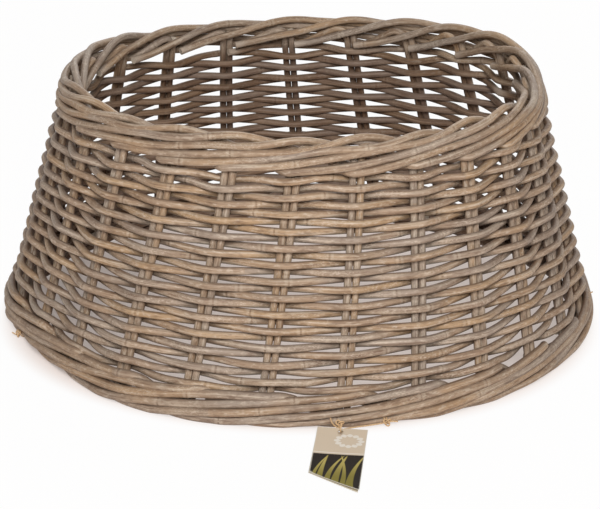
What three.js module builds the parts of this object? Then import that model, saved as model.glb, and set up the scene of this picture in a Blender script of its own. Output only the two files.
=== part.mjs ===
// Woven rattan collar that stands round the foot of a Christmas tree and hides its stand.
// It is a truncated cone, open at both ends, wide end down. The origin is on the floor in the
// middle of the collar, +Z is up and the front, with the hang tag, faces -Y.
// Lengths are in millimetres and angles in radians unless a name says otherwise.

import * as THREE from "three";

const degree = Math.PI / 180;
const fullTurn = 2 * Math.PI;

// The wall: the middle line of the weave, from the floor to the top of the rim.
const height = 252;
const bottomWallRadius = 292;
const topWallRadius = 222;

// The uprights stand in pairs: a stake, whose ends make both borders, and a bye-stake beside it.
const stakePairs = 23;
const stakeDiameter = 6.2;
const pairGap = 0.5;
const firstPairAngle = -157.9 * degree;
const crowding = 5.4 * degree;
const crowdedSide = -76.9 * degree;
const stakeLean = 5.5 * degree;

// The weavers: long rods in plain weave, wound upwards in one spiral.
const weaverRods = 8;
const weaverDiameter = 6.2;
const rowGap = 0.8;
const weaveClearance = 0.35;
const rodEndGap = 2.4;

// The borders: each stake end is rolled along the rim over several spacings.
const strandGap = 0.4;
const borderToWeave = 0.4;
const footFlat = 0.35;
const byeStakeToRim = 4.2;
const byeStakeToElbow = 13;

// The hang tag, its string and two left-over ties, all of thin twine.
const twineDiameter = 1.4;
const twineClearance = 0.3;
const windingPitch = 2.1;
const tagWidth = 45;
const tagLongSide = 118;
const tagShortSide = 86;
const tagThickness = 0.8;
const tagYaw = -5 * degree;
const tagHoleFromLeft = 21;
const tagHoleDiameter = 4.4;
const tagEdgeMargin = 3.4;
const tagStandOff = 4;
const hingeAngle = -82.7 * degree;
const hingeHeight = 4.9;
const floorGap = 0.3;
const stringRingStart = 20 * degree;
const stringRingTurn = 325 * degree;
const stringRingDraw = 0.3;

// The stakes whose ends carry the string and the ties, counted from 0, and how far along the
// border: on the lowest strand, or where an end dives out through the wall.
const stringPair = 10;
const leftTiePair = 4;
const rightTiePair = 11;
const tiedTravel = 4.5;
const divingTravel = 0.68;

// The windings: their turns, where each starts, and the free ends beyond them as distances
// along the strand anticlockwise, outward and up.
const stringTurns = 2;
const stringWindingStart = -15 * degree;
const stringEnd = [
  [3, 2.5, 1],
  [7, 5, 1],
];
const tieTurns = 1.5;
const leftTieStart = -20 * degree;
const leftTieEnds = [
  [-5, 6, 1],
  [4, -2, 0],
];
const rightTieStart = 20 * degree;
const rightTieEnds = [
  [-4, 5, 2],
  [4, -2, 1],
];

// The free end of the string in front of the ring: distances from the ring's middle to the
// right, outward and up.
const stringTail = [
  [-9.5, -0.2, 11],
  [-8.6, -0.4, 7.5],
  [-6.6, -2.2, 3.6],
  [-4, -3.1, 1.2],
  [-1.9, -3.5, -0.1],
];

// Facets.
const rodSides = 5;
const twineSides = 5;
const holeSides = 16;
const stepsPerTurn = 12;

const wallTilt = Math.atan2(bottomWallRadius - topWallRadius, height);
const slopeLength = height / Math.cos(wallTilt);
const stakeRadius = stakeDiameter / 2;
const weaverRadius = weaverDiameter / 2;
const twineRadius = twineDiameter / 2;
const strandPitch = stakeDiameter + strandGap;

// The way of a stake end along a border, in three columns: how far it has travelled along the
// rim, in spacings of the pairs, how far out of the wall's middle line it lies, and how deep
// below the rim's outermost strand. The last two are in strand pitches. It bends inwards off the
// upright, dives out through the wall under the older strands, rises on the outside by one
// strand at each pair, rolls over the rim and slants down the inside, past the bends of two
// other stakes.
const borderCourse = [
  [0, 0, 3.4],
  [0, -0.45, 1.8],
  [0.03, -0.72, 1.25],
  [0.13, -0.8, 1.05],
  [0.5, -0.45, 2.75],
  [0.7, 0, 3.9],
  [0.84, 1.06, 4.35],
  [1, 1.15, 4.05],
  [1.5, 1.2, 3.52],
  [2, 1.22, 3.0],
  [2.5, 1.24, 2.5],
  [3, 1.22, 2.0],
  [3.5, 1.16, 1.5],
  [4, 0.98, 0.98],
  [4.5, 0.35, 0.45],
  [4.92, 0.05, 0],
  [5.08, -0.05, 0],
  [5.32, -0.8, 0.3],
  [5.65, -1.6, 1.05],
  [6.1, -1.85, 2.1],
  [6.5, -1.85, 3.1],
  [6.85, -1.8, 3.95],
];
const deepestStrand = Math.max(...borderCourse.map((stop) => stop[2])) * strandPitch;

// Distances up the wall's slope, from the floor line.
const footLine = (stakeRadius * Math.cos(Math.PI / rodSides) - footFlat) / Math.cos(wallTilt);
const rimLine = slopeLength - stakeRadius / Math.cos(wallTilt);
const borderDepth = deepestStrand + stakeRadius + borderToWeave + weaverRadius;
const firstRow = footLine + borderDepth;
const lastRow = rimLine - borderDepth;

const rows = Math.floor((lastRow - firstRow) / (weaverDiameter + rowGap));
const crossingsPerRod = 2 * Math.round((rows * stakePairs) / (2 * weaverRods));
const crossings = crossingsPerRod * weaverRods;

function wallRadius(slope) {
  return bottomWallRadius - slope * Math.sin(wallTilt);
}

// A point of the wall: an angle about the Z axis, a distance up the slope and one out of it.
function wallPoint(angle, slope, outward) {
  const radius = wallRadius(slope) + outward * Math.cos(wallTilt);
  const z = slope * Math.cos(wallTilt) + outward * Math.sin(wallTilt);
  return new THREE.Vector3(radius * Math.cos(angle), radius * Math.sin(angle), z);
}

// The angle of a pair of uprights. The pairs are crowded towards the front and lean sideways.
// A fraction gives a place between two pairs.
function pairAngle(pair, slope) {
  const even = firstPairAngle + (pair * fullTurn) / stakePairs;
  const lean = stakeLean * (slope / slopeLength - 0.5);
  return even - crowding * Math.sin(even - crowdedSide) + lean;
}

function pairSpacing(pair, slope) {
  return (pairAngle(pair + 0.5, slope) - pairAngle(pair - 0.5, slope)) * wallRadius(slope);
}

// The stake stands on one side of the middle of its pair and the bye-stake on the other.
const pairOffset = (stakeDiameter + pairGap) / 2;

function uprightAngle(pair, slope, offset) {
  return pairAngle(pair, slope) + offset / wallRadius(slope);
}

// A solid rod along a line of points, with its rings square to the bends and flat ends.
// The first ring has a flat side facing down.
function rodGeometry(points, radius, sides) {
  const count = points.length;
  const steps = points.slice(1).map((point, i) => point.clone().sub(points[i]).normalize());
  const positions = [];
  const up = new THREE.Vector3(0, 0, 1);
  for (let i = 0; i < count; i++) {
    const before = steps[Math.max(i - 1, 0)];
    const after = steps[Math.min(i, count - 2)];
    const along = before.clone().add(after).normalize();
    up.addScaledVector(along, -up.dot(along)).normalize();
    const side = new THREE.Vector3().crossVectors(along, up);
    for (let k = 0; k < sides; k++) {
      const turn = (k / sides) * fullTurn;
      const vertex = points[i].clone();
      vertex.addScaledVector(up, radius * Math.cos(turn));
      vertex.addScaledVector(side, radius * Math.sin(turn));
      positions.push(vertex.x, vertex.y, vertex.z);
    }
  }
  return tubeFromRings(positions, count, sides);
}

// Joins rings of vertices, given in order, into one closed body.
function tubeFromRings(positions, count, sides) {
  const faces = [];
  for (let i = 0; i + 1 < count; i++) {
    for (let k = 0; k < sides; k++) {
      const a = i * sides + k;
      const b = i * sides + ((k + 1) % sides);
      faces.push(a, b, a + sides, b, b + sides, a + sides);
    }
  }
  const last = (count - 1) * sides;
  for (let k = 1; k + 1 < sides; k++) {
    faces.push(0, k + 1, k);
    faces.push(last, last + k, last + k + 1);
  }
  const geometry = new THREE.BufferGeometry();
  geometry.setAttribute("position", new THREE.Float32BufferAttribute(positions, 3));
  geometry.setIndex(faces);
  geometry.computeVertexNormals();
  return geometry;
}

// Where a stake's end runs in a border. side is 1 in the top border, where the ends travel
// anticlockwise, and -1 in the bottom border, where they travel clockwise.
function borderPoint(pair, side, travelled, outward, depth) {
  const slope = side > 0 ? rimLine - depth * strandPitch : footLine + depth * strandPitch;
  const angle = uprightAngle(pair + side * travelled, slope, pairOffset);
  return wallPoint(angle, slope, outward * strandPitch);
}

// One stake with both of its rolled ends. It is rubbed flat where it stands on the floor.
function stakeGeometry(pair) {
  const bottom = borderCourse.map((stop) => borderPoint(pair, -1, ...stop)).reverse();
  const top = borderCourse.map((stop) => borderPoint(pair, 1, ...stop));
  const geometry = rodGeometry([...bottom, ...top], stakeRadius, rodSides);
  const position = geometry.attributes.position;
  for (let i = 0; i < position.count; i++) {
    position.setZ(i, Math.max(position.getZ(i), 0));
  }
  return geometry;
}

function byeStakeGeometry(pair) {
  const ends = [footLine + byeStakeToElbow, rimLine - strandPitch - byeStakeToRim];
  const points = ends.map((slope) => wallPoint(uprightAngle(pair, slope, -pairOffset), slope, 0));
  return rodGeometry(points, stakeRadius, rodSides);
}

// How far out of the wall a weaver's middle line lies where it crosses a pair. From one pair
// to the next the weaver runs straight, so beside a pair it already lies inside the wall's arc.
function crossingOutward(crossing, slope, inFront) {
  const touching = stakeRadius + weaverRadius + weaveClearance;
  const spacing = pairSpacing(crossing, slope);
  const run = 1 - (2 * pairOffset) / spacing;
  const climb = Math.atan2(2 * touching, spacing);
  const insideArc = (pairOffset * (spacing - pairOffset)) / (2 * wallRadius(slope));
  return (inFront * touching) / (run * Math.cos(climb)) + insideArc;
}

// A ring of a weaver. Rings lie in planes through the Z axis.
function pushWeaverRing(positions, place, slope, outward) {
  for (let k = 0; k < rodSides; k++) {
    const turn = (k / rodSides) * fullTurn;
    const ringSlope = slope + weaverRadius * Math.cos(turn);
    const ringOutward = outward + weaverRadius * Math.sin(turn);
    const vertex = wallPoint(pairAngle(place, slope), ringSlope, ringOutward);
    positions.push(vertex.x, vertex.y, vertex.z);
  }
}

// One weaver: in front of one pair and behind the next. Its ends butt behind a pair.
function weaverGeometry(rod) {
  const positions = [];
  const first = rod * crossingsPerRod;
  const last = first + crossingsPerRod;
  for (let crossing = first; crossing <= last; crossing++) {
    const slope = firstRow + ((lastRow - firstRow) * crossing) / crossings;
    const inFront = crossing % 2 === 1 ? 1 : -1;
    const endShift = rodEndGap / 2 / pairSpacing(crossing, slope);
    const shift = crossing === first ? endShift : crossing === last ? -endShift : 0;
    const outward = crossingOutward(crossing, slope, inFront);
    pushWeaverRing(positions, crossing + shift, slope, outward);
  }
  return tubeFromRings(positions, crossingsPerRod + 1, rodSides);
}

// A place on the middle line of a stake's end in the bottom border, with axes there: along the
// strand anticlockwise, outward and up.
function bottomStrand(pair, travelled) {
  const next = borderCourse.findIndex((stop) => stop[0] >= travelled);
  const [before, after] = [borderCourse[next - 1], borderCourse[next]];
  const share = (travelled - before[0]) / (after[0] - before[0]);
  const from = borderPoint(pair, -1, ...before);
  const to = borderPoint(pair, -1, ...after);
  const centre = from.clone().lerp(to, share);
  const along = from.sub(to).normalize();
  const outward = new THREE.Vector3(centre.x, centre.y, 0);
  outward.addScaledVector(along, -outward.dot(along)).normalize();
  const up = new THREE.Vector3().crossVectors(outward, along);
  return { centre, along, outward, up };
}

// A point given by three distances on a place's axes.
function offsetPoint(from, axes, alongBy, outwardBy, upBy) {
  const point = from.clone().addScaledVector(axes.along, alongBy);
  return point.addScaledVector(axes.outward, outwardBy).addScaledVector(axes.up, upBy);
}

// Twine wound round a strand, as points. Angles start outward and rise towards the top.
function windingPoints(strand, startAngle, turns) {
  const radius = stakeRadius + twineClearance + twineRadius;
  const steps = Math.ceil(Math.abs(turns) * stepsPerTurn);
  const points = [];
  for (let i = 0; i <= steps; i++) {
    const angle = startAngle + (turns * fullTurn * i) / steps;
    const advance = (i / steps - 0.5) * windingPitch * Math.abs(turns);
    const reach = radius / Math.cos(Math.PI / stepsPerTurn);
    points.push(
      offsetPoint(strand.centre, strand, advance, reach * Math.cos(angle), reach * Math.sin(angle)),
    );
  }
  return points;
}

// The least gap of a twine to itself, between places more than three diameters apart on it.
function leastGap(points) {
  const places = [];
  let travelled = 0;
  for (let i = 0; i + 1 < points.length; i++) {
    const length = points[i].distanceTo(points[i + 1]);
    const steps = Math.ceil(length / (twineDiameter / 5));
    for (let k = 0; k < steps; k++) {
      const point = points[i].clone().lerp(points[i + 1], k / steps);
      places.push({ point, travelled: travelled + (length * k) / steps });
    }
    travelled += length;
  }
  let least = Infinity;
  for (const one of places) {
    for (const other of places) {
      if (other.travelled - one.travelled > 3 * twineDiameter) {
        least = Math.min(least, one.point.distanceTo(other.point) - twineDiameter);
      }
    }
  }
  return least;
}

const material = {
  stake: new THREE.MeshStandardMaterial({ color: 0x9c8468, roughness: 0.78, metalness: 0 }),
  weaver: new THREE.MeshStandardMaterial({ color: 0xa98f72, roughness: 0.75, metalness: 0 }),
  twine: new THREE.MeshStandardMaterial({ color: 0xc9a070, roughness: 0.9, metalness: 0 }),
  card: new THREE.MeshStandardMaterial({ color: 0xcdc0a8, roughness: 0.6, metalness: 0 }),
};

const collar = new THREE.Group();

function addPiece(name, geometry, finish, parent = collar) {
  const mesh = new THREE.Mesh(geometry, finish);
  mesh.name = name;
  parent.add(mesh);
  return mesh;
}

function twoDigits(number) {
  return String(number).padStart(2, "0");
}

for (let pair = 0; pair < stakePairs; pair++) {
  addPiece(`stake_${twoDigits(pair + 1)}`, stakeGeometry(pair), material.stake);
  addPiece(`bye_stake_${twoDigits(pair + 1)}`, byeStakeGeometry(pair), material.stake);
}

for (let rod = 0; rod < weaverRods; rod++) {
  addPiece(`weaver_${rod + 1}`, weaverGeometry(rod), material.weaver);
}

// The hang tag turns on the ring that its string makes through its hole. The ring stands just
// in front of the bottom border, and the tag lies forward of it, its far end by the floor.
const borderBulge = Math.max(...borderCourse.map((stop) => stop[1])) * strandPitch + stakeRadius;
const stringRingRadius = (tagHoleDiameter + tagEdgeMargin) / 2 - stringRingDraw;
const hingeRadius = wallRadius(footLine) + borderBulge + tagStandOff;
const hinge = new THREE.Vector3(
  hingeRadius * Math.cos(hingeAngle),
  hingeRadius * Math.sin(hingeAngle),
  hingeHeight,
);
const tagPitch = Math.asin((hingeHeight - tagThickness / 2 - floorGap) / tagLongSide);

function hangTagGeometry() {
  const topEdge = tagEdgeMargin + tagHoleDiameter / 2 - stringRingRadius;
  const left = -tagHoleFromLeft;
  const right = tagWidth - tagHoleFromLeft;
  const outline = new THREE.Shape();
  outline.moveTo(left, topEdge);
  outline.lineTo(left, topEdge - tagShortSide);
  outline.lineTo(right, topEdge - tagLongSide);
  outline.lineTo(right, topEdge);
  outline.closePath();
  const hole = new THREE.Path();
  hole.absarc(0, -stringRingRadius, tagHoleDiameter / 2, 0, fullTurn, true);
  outline.holes.push(hole);
  const card = new THREE.ExtrudeGeometry(outline, {
    depth: tagThickness,
    bevelEnabled: false,
    curveSegments: holeSides,
  });
  return card.translate(0, 0, -tagThickness / 2);
}

const tagPlace = new THREE.Group();
tagPlace.position.copy(hinge);
tagPlace.rotation.z = tagYaw;
collar.add(tagPlace);
const hangTag = addPiece("hang_tag", hangTagGeometry(), material.card, tagPlace);
hangTag.rotation.x = tagPitch;

// The string: a free end, one ring through the tag's hole, a straight lead along the border,
// two turns round the lowest strand and the other free end.
function tagStringPoints() {
  const axes = {
    along: new THREE.Vector3(Math.cos(tagYaw), Math.sin(tagYaw), 0),
    outward: new THREE.Vector3(Math.sin(tagYaw), -Math.cos(tagYaw), 0),
    up: new THREE.Vector3(0, 0, 1),
  };
  const points = stringTail.map((offsets) => offsetPoint(hinge, axes, ...offsets));
  for (let i = 0; i <= stepsPerTurn; i++) {
    const share = i / stepsPerTurn;
    const angle = stringRingStart + stringRingTurn * share;
    const across = windingPitch * (share - 0.5);
    const outward = -stringRingRadius * Math.cos(angle);
    points.push(offsetPoint(hinge, axes, across, outward, stringRingRadius * Math.sin(angle)));
  }
  const strand = bottomStrand(stringPair, tiedTravel);
  const winding = windingPoints(strand, stringWindingStart, stringTurns);
  const last = winding[winding.length - 1];
  const end = stringEnd.map((offsets) => offsetPoint(last, strand, ...offsets));
  return [...points, ...winding, ...end];
}

const tagString = tagStringPoints();
addPiece("tag_string", rodGeometry(tagString, twineRadius, twineSides), material.twine);

// A left-over tie: one and a half turns of twine round a strand, with two free ends.
function tiePoints(strand, startAngle, ends) {
  const winding = windingPoints(strand, startAngle, tieTurns);
  const start = offsetPoint(winding[0], strand, ...ends[0]);
  const end = offsetPoint(winding[winding.length - 1], strand, ...ends[1]);
  return [start, ...winding, end];
}

// The left tie sits on the lowest strand, where it rises off the floor, and the right one on
// the strand that dives out through the wall.
const leftTie = tiePoints(bottomStrand(leftTiePair, tiedTravel), leftTieStart, leftTieEnds);
const rightTie = tiePoints(bottomStrand(rightTiePair, divingTravel), rightTieStart, rightTieEnds);
addPiece("left_tie", rodGeometry(leftTie, twineRadius, twineSides), material.twine);
addPiece("right_tie", rodGeometry(rightTie, twineRadius, twineSides), material.twine);

const gaps = [tagString, leftTie, rightTie].map((points) => leastGap(points).toFixed(2));
console.log(`least gap of the string and the ties to themselves: ${gaps.join(", ")} mm`);

export default collar;
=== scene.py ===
# Woven rattan collar for the foot of a Christmas tree: how it looks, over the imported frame.
# Lengths are in metres and angles in radians. The front, with the hang tag, faces -Y.

import math

import bpy
from mathutils import Matrix, Vector, noise


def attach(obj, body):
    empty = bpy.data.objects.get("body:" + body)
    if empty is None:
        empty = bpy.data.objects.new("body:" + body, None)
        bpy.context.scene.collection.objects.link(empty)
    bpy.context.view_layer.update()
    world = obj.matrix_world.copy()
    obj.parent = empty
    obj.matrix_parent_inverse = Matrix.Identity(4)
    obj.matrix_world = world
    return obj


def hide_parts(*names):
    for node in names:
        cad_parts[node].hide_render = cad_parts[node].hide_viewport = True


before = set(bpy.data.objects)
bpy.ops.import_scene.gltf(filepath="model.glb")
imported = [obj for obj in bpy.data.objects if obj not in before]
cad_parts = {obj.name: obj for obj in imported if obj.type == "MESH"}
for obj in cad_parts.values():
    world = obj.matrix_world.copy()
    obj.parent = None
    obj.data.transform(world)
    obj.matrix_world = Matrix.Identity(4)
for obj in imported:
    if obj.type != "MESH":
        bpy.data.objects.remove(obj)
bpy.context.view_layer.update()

MM = 0.001
DEGREE = math.pi / 180
FULL_TURN = 2 * math.pi

# The wall, its uprights and its weavers, as they are in the part.
HEIGHT = 252 * MM
BOTTOM_WALL_RADIUS = 292 * MM
TOP_WALL_RADIUS = 222 * MM
STAKE_PAIRS = 23
STAKE_DIAMETER = 6.2 * MM
PAIR_GAP = 0.5 * MM
FIRST_PAIR_ANGLE = -157.9 * DEGREE
CROWDING = 5.4 * DEGREE
CROWDED_SIDE = -76.9 * DEGREE
STAKE_LEAN = 5.5 * DEGREE
WEAVER_RODS = 8
WEAVER_DIAMETER = 6.2 * MM
ROW_GAP = 0.8 * MM
STRAND_GAP = 0.4 * MM
BORDER_TO_WEAVE = 0.4 * MM
FOOT_FLAT = 0.35 * MM
CAD_ROD_SIDES = 5
CAD_DEEPEST_STRAND = 4.35
CAD_BORDER_BULGE = 1.24
BYE_STAKE_TO_RIM = 4.2 * MM
BYE_STAKE_TO_ELBOW = 13 * MM

# The floor's own light hides its shadow outside the collar, and sets in between two distances
# from the middle. Inside, the floor has a share of that light, and a little more to the right.
FLOOR_HALF_SIDE = 6.0
FLOOR_GLOW_START = 270 * MM
FLOOR_GLOW_FULL = 310 * MM
GLOW_OUTSIDE = 0.97
GLOW_INSIDE = 0.24
GLOW_MORE_AT_RIGHT = 0.2
GLOW_GROWS = (-250 * MM, 50 * MM)
LAMP_AIM = (0, 0, 100 * MM)
AMBIENT = 0.17

# The rods as they look: pressed together, so a little thicker than the part's solids, which
# keep clear of each other, and laid by hand, so never quite on their lines. A weaver runs
# nearly straight from the front of one pair to the back of the next, and dips at the front.
WEAVER_LOOK = 7.15 * MM
WEAVE_STRAIGHTNESS = 0.97
WEAVE_DIP = 0.7 * MM
STAKE_LOOK = 7 * MM
STAKE_SPREAD = 0.3 * MM
RIM_THICKENING = 0.06
FOOT_THICKENING = 0.19
TWINE_THINNING = 0.09
ROD_STEP = 3.2 * MM
ROD_SIDES = 12
WEAVER_STEPS = 22
ROD_UNEVENNESS = 0.09
UNEVENNESS_PACE = 9.0
ROD_NUMBER_SHIFT = 6.1
ROD_PIECE_LENGTH = 0.9
KNUCKLE_SPACING = 0.17
KNUCKLE_RANDOMNESS = 0.75
KNUCKLE_SWELLING = 0.05
KNUCKLE_SWELLS = (8 * MM, 1 * MM)
WORN_END = (18 * MM, 3 * MM)

# A stake turns from an upright into a strand here, and over this run, in spacings of the pairs.
ROLL_START = 0.2
ROLL_RUN = 0.6

# How far the rods stray from their lines, along the wall and out of it: a stake by the values for
# uprights and, as a strand, by those for strands as well. The paces are waves in a metre of a
# stake, in a step of a bye-stake and in a crossing of a weaver.
STAKE_PACE = 12
UPRIGHT_WANDER = 1.1 * MM
UPRIGHT_WANDER_OUT = 0.8 * MM
STRAND_WANDER = 2.9 * MM
STRAND_WANDER_OUT = 1.4 * MM
BYE_STAKE_STEP = 4 * ROD_STEP
BYE_STAKE_PACE = 0.35
BYE_STAKE_WANDER = 0.5 * MM
WEAVER_PACE = 1.1
WEAVER_PACE_OUT = 1.3
WEAVER_WANDER = 0.9 * MM

# The rod's own number is added to these, so that no two rods stray alike, and the strides set
# their places in the noise apart.
STAKE_SEED = 1
STAKE_OUT_SEED = 41
BYE_STAKE_SEED = 83
WEAVER_SEED = 131
WEAVER_OUT_SEED = 171
SEED_STRIDES = (7.31, 0.77)

# The rows rise and sink together, in waves around the wall and up it.
ROW_SAG = 2.2 * MM
SAG_PACE_AROUND = 2.6
SAG_PACE_UP = 16
SAG_PLACE = (3.7, 1.3)

# The rows are spread a little towards both borders, and the outermost ones are also pressed into
# the room that a border leaves before its next strand comes out through the wall. The rows beyond
# this distance from the border aren't pressed.
ROW_SPREAD = 2.8 * MM
ROW_PRESS = 2.2 * MM
ROW_PRESS_DEPTH = 30 * MM
ROW_PRESS_SKEW = 1.3
STRAND_WAY_OUT = 0.86

# Made by hand, the wall is neither quite round nor level. Each place: its angle and half the
# angle it covers, in degrees, how much higher the rim is and how far the foot stands out there.
# The rise grows up the wall with the power given, and the stand shrinks evenly.
UNEVEN_PLACES = [
    (24, 46, 13 * MM, 0),
    (62, 40, 3 * MM, 0),
    (98, 66, -4 * MM, 0),
    (160, 30, 4 * MM, 0),
    (-150, 32, 0, -14 * MM),
    (-34, 32, 0, -6 * MM),
]
RISE_POWER = 1.5

# The rods are darker on sides that face into the collar, below the rim: a browner cane with less
# grey wash, and painted shade. Sides that face up or down and lie on other rods, below the rim's
# crest, are darker with painted shade. Each pair starts and ends a ramp, over how far a side faces
# that way or over the height. A cut end's face is told by how far it faces along.
INNER_FACING = (0.15, -0.35)
INNER_TOP = (230 * MM, 205 * MM)
CREVICE_FACING = (0.72, 0.97)
CREVICE_TOP = (251 * MM, 238 * MM)
CUT_FACING = 0.8

# The hang tag, its string and the two ties.
TWINE_DIAMETER = 1.4 * MM
TWINE_CLEARANCE = 0.3 * MM
WINDING_PITCH = 2.1 * MM
TAG_WIDTH = 45 * MM
TAG_LONG_SIDE = 118 * MM
TAG_SHORT_SIDE = 86 * MM
TAG_THICKNESS = 0.8 * MM
TAG_YAW = -5 * DEGREE
TAG_HOLE_FROM_LEFT = 21 * MM
TAG_HOLE_DIAMETER = 4.4 * MM
TAG_EDGE_MARGIN = 3.4 * MM
TAG_STAND_OFF = 4 * MM
HINGE_ANGLE = -82.7 * DEGREE
HINGE_HEIGHT = 4.9 * MM
FLOOR_GAP = 0.3 * MM
STRING_RING_START = 20 * DEGREE
STRING_RING_TURN = 325 * DEGREE
STRING_RING_DRAW = 0.3 * MM
STEPS_PER_TURN = 12

# The stakes that carry the string and the ties, how far along the border, and the windings.
STRING_PAIR = 10
LEFT_TIE_PAIR = 4
RIGHT_TIE_PAIR = 11
TIED_TRAVEL = 4.5
DIVING_TRAVEL = 0.68
STRING_TURNS = 2
STRING_WINDING_START = -15 * DEGREE
TIE_TURNS = 1.5
LEFT_TIE_START = -20 * DEGREE
RIGHT_TIE_START = 20 * DEGREE

# Where twine goes round a strand or hangs beside it, the strands lie and measure as drawn.
TWINE_AT = {STRING_PAIR: TIED_TRAVEL, LEFT_TIE_PAIR: TIED_TRAVEL, RIGHT_TIE_PAIR: DIVING_TRAVEL}
KEPT_TRAVEL = 0.65
KEPT_ANGLE = 14 * DEGREE

# Free ends of the twine, in millimetres: the string's tail to the right, outward and up from
# its ring's middle, and the ends before and beyond a winding anticlockwise, outward and up.
STRING_TAIL = [(-9.5, -0.2, 11), (-8.6, -0.4, 7.5), (-6.6, -2.2, 3.6), (-4, -3.1, 1.2), (-1.9, -3.5, -0.1)]
STRING_END = [(3, 2.5, 1), (7, 5, 1)]
LEFT_TIE_ENDS = [[(-6.1, 6.3, 0.7), (-1.5, 1.5, -1.7)], [(1.1, -0.9, -1.3), (5.4, -2.5, -2.9)]]
RIGHT_TIE_ENDS = [[(-5.3, 7.5, -0.4), (-1.2, 2.7, -2)], [(1.2, 0.6, -1.8), (3.5, 1.5, -3)]]

TWINE_STEP = 0.35 * MM
TWINE_SIDES = 18
TWINE_PLIES = 3
TWINE_TWIST = 210.0
TWINE_UNEVENNESS = 0.12
TWINE_GROOVE = 0.24
KNOT_SIZE = 1.25 * MM
KNOT_STEPS = 72
RING_KNOT = (-1.2, -2.9, 4.8)

WALL_TILT = math.atan2(BOTTOM_WALL_RADIUS - TOP_WALL_RADIUS, HEIGHT)
SLOPE_LENGTH = HEIGHT / math.cos(WALL_TILT)
STAKE_RADIUS = STAKE_DIAMETER / 2
WEAVER_RADIUS = WEAVER_DIAMETER / 2
TWINE_RADIUS = TWINE_DIAMETER / 2
STRAND_PITCH = STAKE_DIAMETER + STRAND_GAP
PAIR_OFFSET = (STAKE_DIAMETER + PAIR_GAP) / 2

# The way of a stake end along a border: spacings of the pairs travelled along the rim, strand
# pitches out of the wall's middle line, and strand pitches below the outermost strand. The ends
# bend more softly than the part's solids do. At the rim they rise in arcs and dive inside, and
# at the foot they lie flat.
WAY_OUT = [
    (0, 0, 3.4),
    (0, -0.45, 1.8),
    (0.03, -0.72, 1.25),
    (0.13, -0.8, 1.05),
    (0.5, -0.45, 2.75),
    (0.7, 0.15, 3.9),
    (0.86, 1.15, 4.35),
    (1, 1.32, 4.2),
    (1.5, 1.25, 3.75),
    (2, 1.24, 3.2),
    (2.5, 1.24, 2.65),
    (3, 1.22, 2.05),
    (3.5, 1.16, 1.5),
]
FOOT_COURSE = WAY_OUT + [
    (4, 0.98, 0.98),
    (4.5, 0.35, 0.45),
    (5, 0, 0),
    (5.45, -0.95, 0.4),
    (5.9, -1.7, 1.15),
    (6.4, -1.85, 2.1),
    (6.85, -1.85, 3),
]
RIM_COURSE = WAY_OUT + [
    (4, 1.1, 1.2),
    (4.4, 0.85, 0.75),
    (4.75, 0.45, 0.15),
    (5.05, 0, -0.05),
    (5.4, -0.6, 0.35),
    (5.75, -1.15, 1.1),
    (6.1, -1.5, 1.8),
    (6.5, -1.7, 2.75),
    (6.85, -1.7, 3.5),
]
DEEPEST_STRAND = CAD_DEEPEST_STRAND * STRAND_PITCH

FOOT_LINE = (STAKE_RADIUS * math.cos(math.pi / CAD_ROD_SIDES) - FOOT_FLAT) / math.cos(WALL_TILT)
RIM_LINE = SLOPE_LENGTH - STAKE_RADIUS / math.cos(WALL_TILT)
BORDER_DEPTH = DEEPEST_STRAND + STAKE_RADIUS + BORDER_TO_WEAVE + WEAVER_RADIUS
FIRST_ROW = FOOT_LINE + BORDER_DEPTH
LAST_ROW = RIM_LINE - BORDER_DEPTH
ROWS = math.floor((LAST_ROW - FIRST_ROW) / (WEAVER_DIAMETER + ROW_GAP))
CROSSINGS_PER_ROD = 2 * round(ROWS * STAKE_PAIRS / (2 * WEAVER_RODS))
CROSSINGS = CROSSINGS_PER_ROD * WEAVER_RODS

# The tag hangs on its string's ring, which stands just in front of the bottom border.
BORDER_BULGE = CAD_BORDER_BULGE * STRAND_PITCH + STAKE_RADIUS
STRING_RING_RADIUS = (TAG_HOLE_DIAMETER + TAG_EDGE_MARGIN) / 2 - STRING_RING_DRAW
HINGE_RADIUS = BOTTOM_WALL_RADIUS - FOOT_LINE * math.sin(WALL_TILT) + BORDER_BULGE + TAG_STAND_OFF
HINGE = Vector((HINGE_RADIUS * math.cos(HINGE_ANGLE), HINGE_RADIUS * math.sin(HINGE_ANGLE), HINGE_HEIGHT))
TAG_PITCH = math.asin((HINGE_HEIGHT - TAG_THICKNESS / 2 - FLOOR_GAP) / TAG_LONG_SIDE)

# The tag as it looks: a folded card whose two leaves have sprung a little apart and curled.
LEAF_THICKNESS = 0.35 * MM
LEAF_ANGLES = 96
LEAF_RINGS = 22
FRONT_LEAF_CURL = 3.2 * MM
BACK_LEAF_CURL = 1.2 * MM
BACK_LEAF_TURN = -0.6 * DEGREE
LEFT_CURL_SHARE = 0.35
RING_CROWDING = 1.6
LEAST_FACING = 0.001


def srgb(red, green, blue):
    """A colour as it is seen, 0 to 255, as the linear colour that Blender's nodes take."""
    parts = [part / 255 for part in (red, green, blue)]
    linear = [p / 12.92 if p < 0.04045 else ((p + 0.055) / 1.055) ** 2.4 for p in parts]
    return (*linear, 1.0)


def add_object(name, data):
    """A new object in the scene."""
    added = bpy.data.objects.new(name, data)
    bpy.context.scene.collection.objects.link(added)
    return added


# Camera, fitted to the photograph's frame

CAMERA_DISTANCE = 2.2
CAMERA_ELEVATION = 20.241 * DEGREE
CAMERA_ROLL = 0.68 * DEGREE
CAMERA_AIM = Vector((0, 0, 58.99 * MM))
CAMERA_LENS = 130.1
CAMERA_SHIFT = 0.0013


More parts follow.
